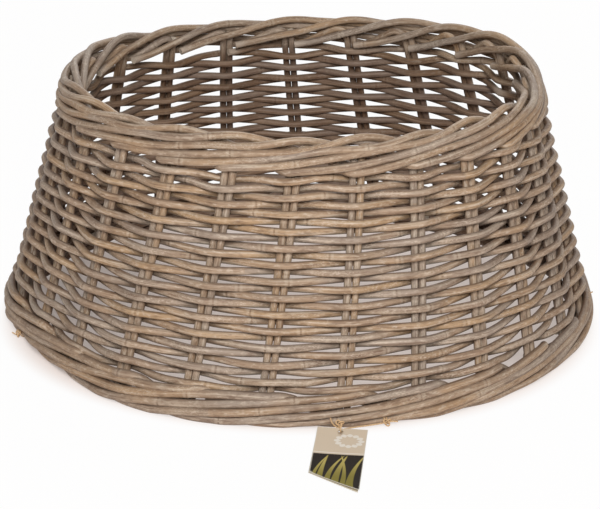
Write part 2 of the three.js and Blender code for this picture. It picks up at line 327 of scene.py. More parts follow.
def make_camera():
    camera = add_object("camera", bpy.data.cameras.new("camera"))
    camera.data.lens = CAMERA_LENS
    camera.data.shift_x = CAMERA_SHIFT
    back = Vector((0, -math.cos(CAMERA_ELEVATION), math.sin(CAMERA_ELEVATION)))
    level_right = Vector((1, 0, 0))
    level_up = back.cross(level_right)
    right = level_right * math.cos(CAMERA_ROLL) + level_up * math.sin(CAMERA_ROLL)
    up = back.cross(right)
    turn = Matrix((right, up, back)).transposed()
    camera.matrix_world = Matrix.Translation(CAMERA_AIM + back * CAMERA_DISTANCE) @ turn.to_4x4()
    bpy.context.scene.camera = camera


make_camera()


# Node trees

def by_maths(operation):
    """A method that joins a value and another number by one Math node."""
    return lambda value, other: value.maths(operation, other)


class Value:
    """A number that one node hands to another. Sums and products of it add Math nodes."""

    __add__ = __radd__ = by_maths("ADD")
    __mul__ = __rmul__ = by_maths("MULTIPLY")
    __sub__ = by_maths("SUBTRACT")
    __truediv__ = by_maths("DIVIDE")
    least = by_maths("MINIMUM")
    most = by_maths("MAXIMUM")

    def __init__(self, tree, socket):
        self.tree = tree
        self.socket = socket

    def maths(self, operation, *others):
        values = dict(enumerate((self, *others)))
        return self.tree.node("ShaderNodeMath", values, operation=operation)[0]

    def __rsub__(self, other):
        return self.maths("MULTIPLY", -1.0).maths("ADD", other)

    def size(self):
        return self.maths("ABSOLUTE")

    def ramp(self, start, end):
        """0 before start and 1 past end, with a smooth step between. start may be the larger."""
        values = {"Value": self, "From Min": start, "From Max": end}
        return self.tree.node("ShaderNodeMapRange", values, interpolation_type="SMOOTHSTEP")[0]


class Outputs:
    """The outputs of a node, as values, by name or number."""

    def __init__(self, tree, node):
        self.tree = tree
        self.node = node

    def __getitem__(self, key):
        return Value(self.tree, self.node.outputs[key])


class Tree:
    """A node tree that is built by calls."""

    def __init__(self, tree):
        self.tree = tree

    def node(self, kind, values=None, **settings):
        """A new node, with the values of its inputs by name or number, and its settings."""
        node = self.tree.nodes.new(kind)
        for name, setting in settings.items():
            setattr(node, name, setting)
        for key, value in (values or {}).items():
            if isinstance(value, Value):
                self.tree.links.new(value.socket, node.inputs[key])
            else:
                node.inputs[key].default_value = value
        return Outputs(self, node)

    def noise(self, place, scale, detail=2.0, roughness=0.5):
        """Noise from 0 to 1 over a vector."""
        values = {"Scale": scale, "Detail": detail, "Roughness": roughness, "Vector": place}
        return self.node("ShaderNodeTexNoise", values, noise_dimensions="3D")["Fac"]

    def line_noise(self, place, scale, detail=2.0):
        """Noise from 0 to 1 along a line."""
        values = {"W": place, "Scale": scale, "Detail": detail}
        return self.node("ShaderNodeTexNoise", values, noise_dimensions="1D")["Fac"]

    def knuckle_distance(self, along):
        """The distance from the nearest knuckle of a cane."""
        values = {"W": along / KNUCKLE_SPACING, "Scale": 1.0, "Randomness": KNUCKLE_RANDOMNESS}
        cells = self.node(
            "ShaderNodeTexVoronoi", values, voronoi_dimensions="1D", feature="DISTANCE_TO_EDGE"
        )
        return cells["Distance"] * KNUCKLE_SPACING

    def mix(self, share, first, second):
        """A mix of two colours."""
        values = {0: share, 6: first, 7: second}
        return self.node("ShaderNodeMix", values, data_type="RGBA", blend_type="MIX")[2]

    def mix_shaders(self, share, first, second):
        return self.node("ShaderNodeMixShader", {0: share, 1: first, 2: second})["Shader"]

    def vector(self, x, y, z):
        return self.node("ShaderNodeCombineXYZ", {0: x, 1: y, 2: z})[0]

    def parts(self, vector):
        return self.node("ShaderNodeSeparateXYZ", {0: vector})

    def attribute(self, name):
        return self.node("ShaderNodeAttribute", attribute_name=name)

    def bump(self, strength, distance, height):
        values = {"Strength": strength, "Distance": distance, "Height": height}
        return self.node("ShaderNodeBump", values)["Normal"]

    def seen_directly(self):
        """1 where the camera sees the place straight, in a reflection or through a pane."""
        rays = self.node("ShaderNodeLightPath")
        return rays["Is Camera Ray"].most(rays["Is Glossy Ray"]).most(rays["Is Transmission Ray"])


# Materials

def new_material(name):
    """A material with an empty tree, and the tree."""
    material = bpy.data.materials.new(name)
    material.use_nodes = True
    material.node_tree.nodes.clear()
    return material, Tree(material.node_tree)


def finish_surface(tree, values):
    """Ends a material's tree in one surface with the values given."""
    surface = tree.node("ShaderNodeBsdfPrincipled", values)
    tree.node("ShaderNodeOutputMaterial", {"Surface": surface["BSDF"]})


# Patterns of the cane: how many there are in a metre along a rod and across it, and the noise's
# detail and roughness.
FIBRE = (38.0, 1500.0, 3.0, 0.62)
STREAK = (15.0, 520.0, 2.0, 0.6)
BLOTCH = (46.0, 190.0, 3.0, 0.6)
DAPPLE = (170.0, 420.0, 2.0, 0.6)
PORES = (480.0, 1300.0, 1.0, 0.5)
BROKEN_LINE = (30.0, 600.0, 1.0, 0.5)

# Slower changes along a rod: how many in a metre, and a shift that keeps them apart. Each length
# of cane between two joints also has its own tone, and a cut end has this many pores in a metre.
TONE_PACE = 7.0
WEATHER_PACE, WEATHER_SHIFT = 5.0, 31.0
PORE_PATCH_PACE, PORE_PATCH_SHIFT = 13.0, 57.0
LENGTH_CONTRAST = 0.3
CORE_PORES = 3000.0

# Painted shade where rods lie on one another.
CREVICE_SHADE = srgb(72, 50, 36)
WORN_TIP = srgb(188, 172, 156)
CORE = srgb(202, 188, 170)
# The inside's colours: a browner cane with less grey wash, darkened with painted shade.
SHADED_UNWASHED_DARK = srgb(78, 53, 38)
SHADED_UNWASHED_TAN = srgb(115, 86, 64)
SHADED_UNWASHED_GREY = srgb(112, 92, 80)


def rattan_material(name, pale, tan, warm, grey, brown, inside, crevice_shade):
    """Cane with its skin on: long fibres, changes of tone, pores, stains and knuckles. The side
    that faces into the collar is browner, with less of the grey wash, and darkened with painted
    shade, by the share inside. Where rods lie on one another, painted shade darkens them by the
    share for that."""
    material, tree = new_material(name)
    parts = tree.parts(tree.attribute("rod_place")["Vector"])
    along, across, through = parts[0], parts[1], parts[2]
    shares = ("cut_end", "near_end", "inner_side", "crevice")
    cut, tip, unwashed_and_shaded, crevice = [tree.attribute(share)["Fac"] for share in shares]

    def stretched(lengthwise, crosswise, detail, roughness):
        scaled = tree.vector(along * lengthwise, across * crosswise, through * crosswise)
        return tree.noise(scaled, 1.0, detail, roughness)

    fibre = stretched(*FIBRE)
    streak = stretched(*STREAK)
    blotch = stretched(*BLOTCH)
    dapple = stretched(*DAPPLE)
    tone = tree.line_noise(along, TONE_PACE, 3.0)
    weather = tree.line_noise(along + WEATHER_SHIFT, WEATHER_PACE, 3.0)
    pore_patch = tree.line_noise(along + PORE_PATCH_SHIFT, PORE_PATCH_PACE, 1.0).ramp(0.5, 0.62)
    pores = stretched(*PORES).ramp(0.54, 0.66) * pore_patch
    pieces = {"W": along / ROD_PIECE_LENGTH, "Scale": 1.0, "Randomness": 1.0}
    piece_colour = tree.node("ShaderNodeTexVoronoi", pieces, voronoi_dimensions="1D")["Color"]
    piece_parts = tree.node("ShaderNodeSeparateColor", {0: piece_colour})
    knuckle = tree.knuckle_distance(along)
    ragged = (blotch - 0.5) * (1.6 * MM)
    broken = stretched(*BROKEN_LINE).ramp(0.36, 0.6)
    knuckle_line = (knuckle + ragged).ramp(1.1 * MM, 0.4 * MM) * broken
    knuckle_band = (knuckle - 2.2 * MM + ragged).size().ramp(2.2 * MM, 0.6 * MM)

    warmth = tone + piece_parts[0] * LENGTH_CONTRAST - LENGTH_CONTRAST / 2
    greyness = weather + piece_parts[1] * LENGTH_CONTRAST - LENGTH_CONTRAST / 2
    shade = tree.mix(streak.ramp(0.35, 0.7), SHADED_UNWASHED_DARK, SHADED_UNWASHED_TAN)
    shade = tree.mix(greyness.ramp(0.45, 0.65) * 0.5, shade, SHADED_UNWASHED_GREY)
    core_place = tree.vector(across * CORE_PORES, through * CORE_PORES, along)
    core_pores = tree.noise(core_place, 1.0, 1.0).ramp(0.5, 0.62)
    core = tree.mix(core_pores * 0.5, CORE, brown)

    # Each layer of colour covers the ones before it by its share.
    layers = [
        (warmth.ramp(0.36, 0.7), warm),
        (greyness.ramp(0.42, 0.7) * 0.85, grey),
        (streak.ramp(0.5, 0.7) * 0.6, pale),
        (streak.ramp(0.46, 0.28) * 0.55, brown),
        (blotch.ramp(0.52, 0.72) * 0.55, brown),
        (dapple.ramp(0.53, 0.7) * 0.5, pale),
        (dapple.ramp(0.44, 0.3) * 0.35, brown),
        (fibre.ramp(0.5, 0.3) * 0.5, brown),
        (pores * 0.5, pale),
        (knuckle_band * 0.2, pale),
        (knuckle_line * 0.4, brown),
        # The inside: a browner cane with less grey wash, and painted shade.
        (unwashed_and_shaded * inside, shade),
        # Painted shade where rods lie on one another.
        (crevice * crevice_shade, CREVICE_SHADE),
        (tip * (0.35 + 0.4 * blotch), WORN_TIP),
        (cut, core),
    ]
    colour = tan
    for share, tint in layers:
        colour = tree.mix(share, colour, tint)

    height = fibre * 0.55 + streak * 0.4 + knuckle_band * 0.7 - knuckle_line * 0.8 + pores * 0.3
    finish_surface(tree, {
        "Base Color": colour,
        "Roughness": 0.5 + 0.22 * fibre + 0.12 * cut,
        "Normal": tree.bump(0.6, 0.4 * MM, height),
        "Specular IOR Level": 0.4,
    })
    return material


# The twine's hairs, in a metre along it and across it, and its colours.
HAIR_PACE_ALONG, HAIR_PACE_ACROSS = 900.0, 6000.0
TWINE_TAN = srgb(190, 152, 108)
TWINE_PALE = srgb(236, 206, 164)
# Painted shade in the twine's grooves.
TWINE_GROOVE_SHADE = srgb(140, 102, 68)


def twine_material():
    """Twisted natural fibre, light orange-tan, with hairs along its plies, and with painted shade
    in the grooves between them.
    """
    material, tree = new_material("twine")
    parts = tree.parts(tree.attribute("rod_place")["Vector"])
    along, across, through = parts[0], parts[1], parts[2]
    hair_place = tree.vector(
        along * HAIR_PACE_ALONG, across * HAIR_PACE_ACROSS, through * HAIR_PACE_ACROSS
    )
    hair = tree.noise(hair_place, 1.0, 3.0, 0.65)
    off_middle = (across * across + through * through).maths("SQRT") / TWINE_RADIUS
    colour = tree.mix(hair.ramp(0.32, 0.7), TWINE_TAN, TWINE_PALE)
    # Painted shade in the grooves between the plies.
    colour = tree.mix(off_middle.ramp(0.9, 0.75) * 0.6, colour, TWINE_GROOVE_SHADE)
    normal = tree.bump(0.7, 0.12 * MM, hair)
    finish_surface(tree, {"Base Color": colour, "Roughness": 0.85, "Normal": normal})
    return material


# The tag's print, in millimetres from its top left corner: where its pale panel ends, the rule
# above that edge, and the wreath's middle, its radius, its pairs of leaves, how far they reach
# from the ring and the ring's own half width.
PANEL_EDGE = 51.0
RULE_ABOVE_EDGE, RULE_HALF_WIDTH = 3.0, 0.5
WREATH_RIGHT, WREATH_DOWN = 30.0, 24.0
WREATH_RADIUS = 10.5
WREATH_LEAF_PAIRS = 6.0
WREATH_LEAF_REACH = 2.6
WREATH_HALF_WIDTH = 0.5

# The reeds, whose tips reach the pale panel: their height, the places down the card between which
# their colour turns, how much fuller they are at the foot, and for each reed its foot's place, its
# lean and bend over the height, and its width.
REED_HEIGHT = 46.0
REEDS_TURN = (58.0, 96.0)
REED_FULLNESS = 1.15
REEDS = [
    (3.0, 3.0, 9.0, 1.7),
    (9.0, 1.0, 4.0, 2.5),
    (16.0, 2.0, 11.0, 2.2),
    (23.0, 3.0, 5.0, 2.8),
    (30.0, 1.0, -6.0, 1.8),
    (36.0, 3.0, 7.0, 2.4),
]

BEIGE = srgb(223, 206, 183)
CREAM = srgb(246, 240, 230)
NEAR_BLACK = srgb(19, 15, 14)
STRAW = srgb(192, 176, 102)
OLIVE = srgb(134, 124, 58)
PLAIN_CARD = srgb(196, 184, 160)
SCUFFED_CARD = srgb(226, 220, 206)
CARD_SPECKS = srgb(120, 110, 96)


def card_print(tree, across, down):
    """The tag's printed front, over millimetres from its top left corner: a beige panel with a
    pale wreath, and a near-black one with a tuft of reeds. All shapes are plain geometry."""
    right = across - WREATH_RIGHT
    low = down - WREATH_DOWN
    ring = (right * right + low * low).maths("SQRT") - WREATH_RADIUS
    leaves = (right.maths("ARCTAN2", low) * WREATH_LEAF_PAIRS).maths("COSINE").size()
    wreath = (ring.size() - leaves * WREATH_LEAF_REACH - WREATH_HALF_WIDTH).ramp(0.25, -0.25)
    colour = tree.mix(wreath * 0.85, BEIGE, CREAM)
    rule = ((down - PANEL_EDGE + RULE_ABOVE_EDGE).size() - RULE_HALF_WIDTH).ramp(0.2, -0.2)
    colour = tree.mix(rule, colour, CREAM)

    reeds = tree.mix(down.ramp(*REEDS_TURN), STRAW, OLIVE)
    rise = 1.0 - (down - PANEL_EDGE) / REED_HEIGHT
    tuft = None
    for root, lean, bend, width in REEDS:
        line = (across - root - rise * lean - rise * rise * bend).size()
        reed = (line - width * (REED_FULLNESS - rise)).ramp(0.35, -0.35)
        tuft = reed if tuft is None else tuft.most(reed)
    dark = tree.mix(tuft * rise.ramp(1.0, 0.86), NEAR_BLACK, reeds)
    return tree.mix((down - PANEL_EDGE).ramp(-0.15, 0.15), colour, dark)


def card_material(name, printed):
    """Card, printed on the front or plain, scuffed pale at its edges."""
    material, tree = new_material(name)
    place = tree.parts(tree.node("ShaderNodeUVMap", uv_map="card")["UV"])
    across, down = place[0] / MM, place[1] / MM
    grain = tree.noise(tree.vector(across, down, 0.0), 1.6, 3.0, 0.6)
    colour = card_print(tree, across, down) if printed else PLAIN_CARD
    edge = tree.attribute("from_edge")["Fac"] / MM
    scuff = (edge + (grain - 0.5) * 2.4).ramp(0.9, 0.15)
    colour = tree.mix(scuff * 0.8, colour, SCUFFED_CARD)
    colour = tree.mix(grain.ramp(0.35, 0.75) * 0.1, colour, CARD_SPECKS)
    finish_surface(tree, {
        "Base Color": colour,
        "Roughness": 0.5 + 0.2 * grain,
        "Normal": tree.bump(0.3, 0.1 * MM, grain),
        "Specular IOR Level": 0.3,
    })
    return material


WHITE = srgb(255, 255, 255)
FLOOR_PAINT = srgb(252, 240, 234)
GLOW_TINT_INSIDE = srgb(252, 238, 230)


def floor_material():
    """White, and lit by itself to the camera outside the collar, so that it keeps its shadow
    inside and just around."""
    material, tree = new_material("floor")
    place = tree.node("ShaderNodeTexCoord")["Object"]
    from_middle = tree.node("ShaderNodeVectorMath", {0: place}, operation="LENGTH")["Value"]
    outside = from_middle.ramp(FLOOR_GLOW_START, FLOOR_GLOW_FULL)
    inside = GLOW_INSIDE + GLOW_MORE_AT_RIGHT * tree.parts(place)[0].ramp(*GLOW_GROWS)
    light = tree.mix(outside, GLOW_TINT_INSIDE, WHITE)
    paint = tree.node("ShaderNodeBsdfDiffuse", {"Color": FLOOR_PAINT})
    glow = tree.node("ShaderNodeEmission", {"Color": light, "Strength": 1.0})
    share = inside + (GLOW_OUTSIDE - inside) * outside
    mixed = tree.mix_shaders(tree.seen_directly() * share, paint["BSDF"], glow["Emission"])
    tree.node("ShaderNodeOutputMaterial", {"Surface": mixed})
    return material


# Both canes take painted shade inside the collar and where rods lie on one another; the stakes, lying
# deeper, take more.
stake_rattan = rattan_material(
    "stake_rattan",
    pale=srgb(200, 184, 164),
    tan=srgb(158, 134, 111),
    warm=srgb(168, 138, 107),
    grey=srgb(150, 136, 124),
    brown=srgb(98, 72, 52),
    inside=0.85,
    crevice_shade=0.5,
)
weaver_rattan = rattan_material(
    "weaver_rattan",
    pale=srgb(206, 190, 170),
    tan=srgb(161, 136, 113),
    warm=srgb(173, 143, 110),
    grey=srgb(156, 140, 126),
    brown=srgb(100, 74, 54),
    inside=0.72,
    crevice_shade=0.45,
)
twine = twine_material()
tag_front = card_material("card", printed=True)
tag_back = card_material("plain_card", printed=False)


# The wall's own measure

def wall_radius(slope):
    return BOTTOM_WALL_RADIUS - slope * math.sin(WALL_TILT)


def bump_at(value, middle, half_width):
    """1 at the middle, falling smoothly to 0 at half_width from it."""
    share = min(abs(value - middle) / half_width, 1)
    return 0.5 + 0.5 * math.cos(math.pi * share)


def unevenness(angle, slope):
    """How far the wall stands out there, and how far it is raised."""
    high = max(slope / SLOPE_LENGTH, 0)
    stand, rise = 0, 0
    for middle, half_width, rim_rise, foot_stand in UNEVEN_PLACES:
        away = (angle - middle * DEGREE + math.pi) % FULL_TURN - math.pi
        share = bump_at(away, 0, half_width * DEGREE)
        stand += foot_stand * share * (1 - high)
        rise += rim_rise * share * high ** RISE_POWER
    return stand, rise


def wall_point(angle, slope, outward):
    stand, rise = unevenness(angle, slope)
    radius = wall_radius(slope) + outward * math.cos(WALL_TILT) + stand
    height = slope * math.cos(WALL_TILT) + outward * math.sin(WALL_TILT) + rise
    return Vector((radius * math.cos(angle), radius * math.sin(angle), height))


def pair_angle(pair, slope):
    even = FIRST_PAIR_ANGLE + pair * FULL_TURN / STAKE_PAIRS
    lean = STAKE_LEAN * (slope / SLOPE_LENGTH - 0.5)
    return even - CROWDING * math.sin(even - CROWDED_SIDE) + lean


def pair_spacing(pair, slope):
    return (pair_angle(pair + 0.5, slope) - pair_angle(pair - 0.5, slope)) * wall_radius(slope)


def upright_angle(pair, slope, offset):
    return pair_angle(pair, slope) + offset / wall_radius(slope)


def upright_point(pair, slope, offset, outward):
    return wall_point(upright_angle(pair, slope, offset), slope, outward)


def border_place(pair, side, travelled, outward, depth):
    """A stop of a stake's course as place among the pairs, slope and outward distance."""
    slope = RIM_LINE - depth * STRAND_PITCH if side > 0 else FOOT_LINE + depth * STRAND_PITCH
    return (pair + side * travelled, slope, outward * STRAND_PITCH)


def wander(seed, at, reach):
    """A smooth, small and repeatable departure from the drawn line, as a hand leaves it."""
    return reach * noise.noise(Vector((seed * SEED_STRIDES[0], at, seed * SEED_STRIDES[1])))


def row_sag(angle, slope):
    """How far the rows lie off their lines there. Neighbouring rows rise and sink together."""
    around = Vector((math.cos(angle), math.sin(angle), 0)) * SAG_PACE_AROUND
    return ROW_SAG * noise.noise(around + Vector((*SAG_PLACE, slope * SAG_PACE_UP)))


def row_press(place, slope):
    """How far a row there is pressed towards the nearer border."""
    to_top = max(0, 1 - (LAST_ROW - slope) / ROW_PRESS_DEPTH)
    to_bottom = max(0, 1 - (slope - FIRST_ROW) / ROW_PRESS_DEPTH)
    past_top_strand = (place - STRAND_WAY_OUT) % 1
    past_bottom_strand = (-place - STRAND_WAY_OUT) % 1
    up = to_top * math.sin(math.pi * past_top_strand ** ROW_PRESS_SKEW) ** 2
    down = to_bottom * math.sin(math.pi * past_bottom_strand ** ROW_PRESS_SKEW) ** 2
    return ROW_PRESS * (up - down)


def smooth_line(stops, lengths, step):
    """Stops, each a tuple, joined by a smooth curve and read every step of length."""
    last = len(stops) - 1
    slopes = []
    for i in range(last + 1):
        low, high = max(i - 1, 0), min(i + 1, last)
        run = lengths[high] - lengths[low]
        slopes.append([(b - a) / run for a, b in zip(stops[low], stops[high])])
    count = max(2, round(lengths[-1] / step))
    read = []
    i = 0
    for k in range(count + 1):
        at = lengths[-1] * k / count
        while i < last - 1 and at > lengths[i + 1]:
            i += 1
        span = lengths[i + 1] - lengths[i]
        t = (at - lengths[i]) / span
        h00, h10 = (1 + 2 * t) * (1 - t) ** 2, t * (1 - t) ** 2
        h01, h11 = t * t * (3 - 2 * t), t * t * (t - 1)
        values = zip(stops[i], slopes[i], stops[i + 1], slopes[i + 1])
        read.append([a * h00 + span * m * h10 + b * h01 + span * n * h11 for a, m, b, n in values])
    return read


def running_lengths(points):
    lengths = [0.0]
    for before, after in zip(points, points[1:]):
        lengths.append(lengths[-1] + (after - before).length)
    return lengths


# Rods

def rod_tree():
    """Turns a line of edges into a cane, uneven and thicker at its knuckles, or into twine, with
    its plies twisted round each other."""
    group = bpy.data.node_groups.new("cane", "GeometryNodeTree")
    tree = Tree(group)
    face = group.interface
    face.new_socket(name="Line", in_out="INPUT", socket_type="NodeSocketGeometry")
    for name in ("Diameter", "Step", "Unevenness", "Swelling", "Number", "Groove", "Twist"):
        face.new_socket(name=name, in_out="INPUT", socket_type="NodeSocketFloat")
    face.new_socket(name="Sides", in_out="INPUT", socket_type="NodeSocketInt")
    face.new_socket(name="Material", in_out="INPUT", socket_type="NodeSocketMaterial")
    face.new_socket(name="Cane", in_out="OUTPUT", socket_type="NodeSocketGeometry")
    given = tree.node("NodeGroupInput")

    def store(geometry, name, value, data_type="FLOAT_VECTOR", domain="POINT"):
        values = {"Geometry": geometry, "Name": name, "Value": value}
        kept = tree.node("GeometryNodeStoreNamedAttribute", values, data_type=data_type, domain=domain)
        return kept["Geometry"]

    def stored(name, data_type="FLOAT_VECTOR"):
        named = tree.node("GeometryNodeInputNamedAttribute", {"Name": name}, data_type=data_type)
        return named["Attribute"]

    def dot(first, second):
        values = {0: first, 1: second}
        return tree.node("ShaderNodeVectorMath", values, operation="DOT_PRODUCT")["Value"]

    line = tree.node("GeometryNodeMeshToCurve", {"Mesh": given["Line"]})["Curve"]
    even = {"Curve": line, "Length": given["Step"]}
    line = tree.node("GeometryNodeResampleCurve", even, mode="LENGTH")["Curve"]
    length = tree.node("GeometryNodeSplineParameter")["Length"]
    along = length + given["Number"] * ROD_NUMBER_SHIFT
    uneven = (tree.line_noise(along, UNEVENNESS_PACE, 2.0) - 0.5) * given["Unevenness"] * 2
    knuckle = tree.knuckle_distance(along).ramp(*KNUCKLE_SWELLS) * given["Swelling"]
    radius = given["Diameter"] * 0.5 * (1 + uneven + knuckle) * stored("thickness", "FLOAT")
    tilt = length * given["Twist"] * FULL_TURN
    line = tree.node("GeometryNodeSetCurveTilt", {"Curve": line, "Tilt": tilt})["Curve"]
    whole = tree.node("GeometryNodeSplineLength")["Length"]
    to_end = length.least(whole - length)
    line = store(line, "middle_line", tree.vector(along, radius, to_end.ramp(*WORN_END)))
    line = store(line, "heading", tree.node("GeometryNodeInputTangent")["Tangent"])

    circle = {"Resolution": given["Sides"], "Radius": 1.0}
    ring = tree.node("GeometryNodeCurvePrimitiveCircle", circle, mode="RADIUS")["Curve"]
    spot = tree.parts(tree.node("GeometryNodeInputPosition")["Position"])
    turn = spot[1].maths("ARCTAN2", spot[0]) * TWINE_PLIES
    groove = 1 - given["Groove"] * (0.5 - turn.maths("COSINE") * 0.5)
    grooved = tree.vector(spot[0] * groove, spot[1] * groove, 0.0)
    ring = tree.node("GeometryNodeSetPosition", {"Geometry": ring, "Position": grooved})["Geometry"]
    ring = store(ring, "ring_place", tree.node("GeometryNodeInputPosition")["Position"])
    swept = {"Curve": line, "Profile Curve": ring, "Scale": radius, "Fill Caps": True}
    cane = tree.node("GeometryNodeCurveToMesh", swept)["Mesh"]

    middle = tree.parts(stored("middle_line"))
    around = tree.parts(stored("ring_place"))
    rod_place = tree.vector(middle[0], around[0] * middle[1], around[1] * middle[1])
    cane = store(cane, "rod_place", rod_place)
    cane = store(cane, "near_end", middle[2], "FLOAT")
    normal = tree.node("GeometryNodeInputNormal")["Normal"]
    place = tree.parts(tree.node("GeometryNodeInputPosition")["Position"])
    from_axis = tree.vector(place[0], place[1], 0.0)
    radial = tree.node("ShaderNodeVectorMath", {0: from_axis}, operation="NORMALIZE")["Vector"]
    # Painted shade, with a browner unwashed skin: sides that face into the collar, below the rim.
    inner_side = dot(radial, normal).ramp(*INNER_FACING) * place[2].ramp(*INNER_TOP)
    cane = store(cane, "inner_side", inner_side, "FLOAT")
    # Painted shade where rods lie on one another: sides that face up or down, below the crest.
    crevice = tree.parts(normal)[2].size().ramp(*CREVICE_FACING) * place[2].ramp(*CREVICE_TOP)
    cane = store(cane, "crevice", crevice, "FLOAT")
    is_cut = dot(stored("heading"), normal).size().maths("GREATER_THAN", CUT_FACING)
    cane = store(cane, "cut_end", is_cut, "FLOAT", "FACE")
    for name in ("thickness", "middle_line", "ring_place", "heading"):
        cane = tree.node("GeometryNodeRemoveAttribute", {"Geometry": cane, "Name": name})["Geometry"]
    smooth = {"Geometry": cane, "Shade Smooth": 1 - stored("cut_end", "FLOAT")}
    cane = tree.node("GeometryNodeSetShadeSmooth", smooth, domain="FACE")["Geometry"]
    cane = tree.node("GeometryNodeRealizeInstances", {"Geometry": cane})["Geometry"]
    coated = {"Geometry": cane, "Material": given["Material"]}
    cane = tree.node("GeometryNodeSetMaterial", coated)["Geometry"]
    tree.node("NodeGroupOutput", {"Cane": cane})
    return group


cane_group = rod_tree()


def swept_piece(name, points, inputs, closed=False, thickness=None):
    """A mesh piece that the node group makes along a line of points, as thick at each point as
    the list thickness says, or of one thickness. Inputs that aren't named are 0."""
    edges = [(i, i + 1) for i in range(len(points) - 1)]
    if closed:
        edges.append((len(points) - 1, 0))
    line = bpy.data.meshes.new(name + "_line")
    line.from_pydata(points, edges, [])
    thick = line.attributes.new("thickness", "FLOAT", "POINT")
    thick.data.foreach_set("value", thickness or [1.0] * len(points))
    piece = add_object(name, line)
    modifier = piece.modifiers.new("sweep", "NODES")
    modifier.node_group = cane_group
    for item in cane_group.interface.items_tree:
        if item.in_out == "INPUT" and item.name in inputs:
            modifier[item.identifier] = inputs[item.name]
    graph = bpy.context.evaluated_depsgraph_get()
    mesh = bpy.data.meshes.new_from_object(
        piece.evaluated_get(graph), preserve_all_data_layers=True, depsgraph=graph
    )
    piece.modifiers.clear()
    piece.data = mesh
    bpy.data.meshes.remove(line)
    mesh.name = name
    return piece


def cane_piece(kind, label, points, diameter, number, material, thickness=None):
    node = f"{kind}_{label}"
    inputs = {
        "Diameter": diameter,
        "Step": ROD_STEP,
        "Unevenness": ROD_UNEVENNESS,
        "Swelling": KNUCKLE_SWELLING,
        "Number": float(number),
        "Sides": ROD_SIDES,
        "Material": material,
    }
    piece = swept_piece(f"{kind}_cane_{label}", points, inputs, thickness=thickness)
    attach(piece, "collar")
    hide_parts(node)
    return piece


def twine_piece(name, points, closed=False):
    """Twine along points, uneven and grooved between its plies."""
    inputs = {
        "Diameter": TWINE_DIAMETER,
        "Step": TWINE_STEP,
        "Unevenness": TWINE_UNEVENNESS,
        "Groove": TWINE_GROOVE,
        "Twist": TWINE_TWIST,
        "Sides": TWINE_SIDES,
        "Material": twine,
    }
    piece = swept_piece(name, points, inputs, closed)
    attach(piece, "collar")
    return piece


def border_point(pair, travelled, outward, depth):
    """A stop of a stake's course in the bottom border, as a point."""
    place, slope, out = border_place(pair, -1, travelled, outward, depth)
    return upright_point(place, slope, PAIR_OFFSET, out)


def bottom_strand(pair, travelled):
    """A place on the middle line of a stake's end in the bottom border, and axes there: along the
    strand anticlockwise, outward and up."""
    after = next(i for i, stop in enumerate(FOOT_COURSE) if stop[0] >= travelled)
    first, second = FOOT_COURSE[after - 1], FOOT_COURSE[after]
    start = border_point(pair, *first)
    end = border_point(pair, *second)
    centre = start.lerp(end, (travelled - first[0]) / (second[0] - first[0]))
    along = (start - end).normalized()
    outward = Vector((centre.x, centre.y, 0))
    outward = (outward - along * outward.dot(along)).normalized()
    return centre, (along, outward, outward.cross(along))


def offset_point(start, axes, along_by, outward_by, up_by):
    return start + axes[0] * along_by + axes[1] * outward_by + axes[2] * up_by


def point_near(start, axes, millimetres):
    """A point as it is read from the lists of free ends, by three offsets in millimetres."""
    return offset_point(start, axes, *[offset * MM for offset in millimetres])


def winding_points(centre, axes, start_angle, turns):
    """Twine wound round a strand. Angles start outward and rise towards the top."""
    radius = (STAKE_RADIUS + TWINE_CLEARANCE + TWINE_RADIUS) / math.cos(math.pi / STEPS_PER_TURN)
    steps = math.ceil(turns * STEPS_PER_TURN)
    points = []
    for i in range(steps + 1):
        angle = start_angle + turns * FULL_TURN * i / steps
        advance = (i / steps - 0.5) * WINDING_PITCH * turns
        outward, up = radius * math.cos(angle), radius * math.sin(angle)
        points.append(offset_point(centre, axes, advance, outward, up))
    return points


TAG_AXES = (
    Vector((math.cos(TAG_YAW), math.sin(TAG_YAW), 0)),
    Vector((math.sin(TAG_YAW), -math.cos(TAG_YAW), 0)),
    Vector((0, 0, 1)),
)


def tag_string_points():
    """A free end, one ring through the tag's hole, a lead along the border, the winding round
    the lowest strand and the other free end."""
    points = [point_near(HINGE, TAG_AXES, offsets) for offsets in STRING_TAIL]
    for i in range(STEPS_PER_TURN + 1):
        share = i / STEPS_PER_TURN
        angle = STRING_RING_START + STRING_RING_TURN * share
        outward = -STRING_RING_RADIUS * math.cos(angle)
        up = STRING_RING_RADIUS * math.sin(angle)
        points.append(offset_point(HINGE, TAG_AXES, WINDING_PITCH * (share - 0.5), outward, up))
    centre, axes = bottom_strand(STRING_PAIR, TIED_TRAVEL)
    winding = winding_points(centre, axes, STRING_WINDING_START, STRING_TURNS)
    end = [point_near(winding[-1], axes, offsets) for offsets in STRING_END]
    return points + winding + end


def tie_points(pair, travelled, start_angle, ends):
    """A left-over tie: its turns round a strand, with two free ends."""
    centre, axes = bottom_strand(pair, travelled)
    winding = winding_points(centre, axes, start_angle, TIE_TURNS)
    start = [point_near(winding[0], axes, offsets) for offsets in ends[0]]
    end = [point_near(winding[-1], axes, offsets) for offsets in ends[1]]
    return start + winding + end


def knot_piece(name, centre, axes):
    """A small knot of twine, drawn tight: a closed loop that passes through itself."""
    points = []
    for i in range(KNOT_STEPS):
        turn = FULL_TURN * i / KNOT_STEPS
        along = KNOT_SIZE * (math.sin(turn) + 2 * math.sin(2 * turn))
        up = KNOT_SIZE * (math.cos(turn) - 2 * math.cos(2 * turn))
        points.append(offset_point(centre, axes, along, -KNOT_SIZE * math.sin(3 * turn), up))
    return twine_piece(name, points, closed=True)


def cord_piece(name, node, points):
    """A free length of twine."""
    lengths = running_lengths(points)
    path = [Vector(point) for point in smooth_line([tuple(p) for p in points], lengths, TWINE_STEP)]
    piece = twine_piece(name, path)
    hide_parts(node)
    running_lengths(path)[-1]


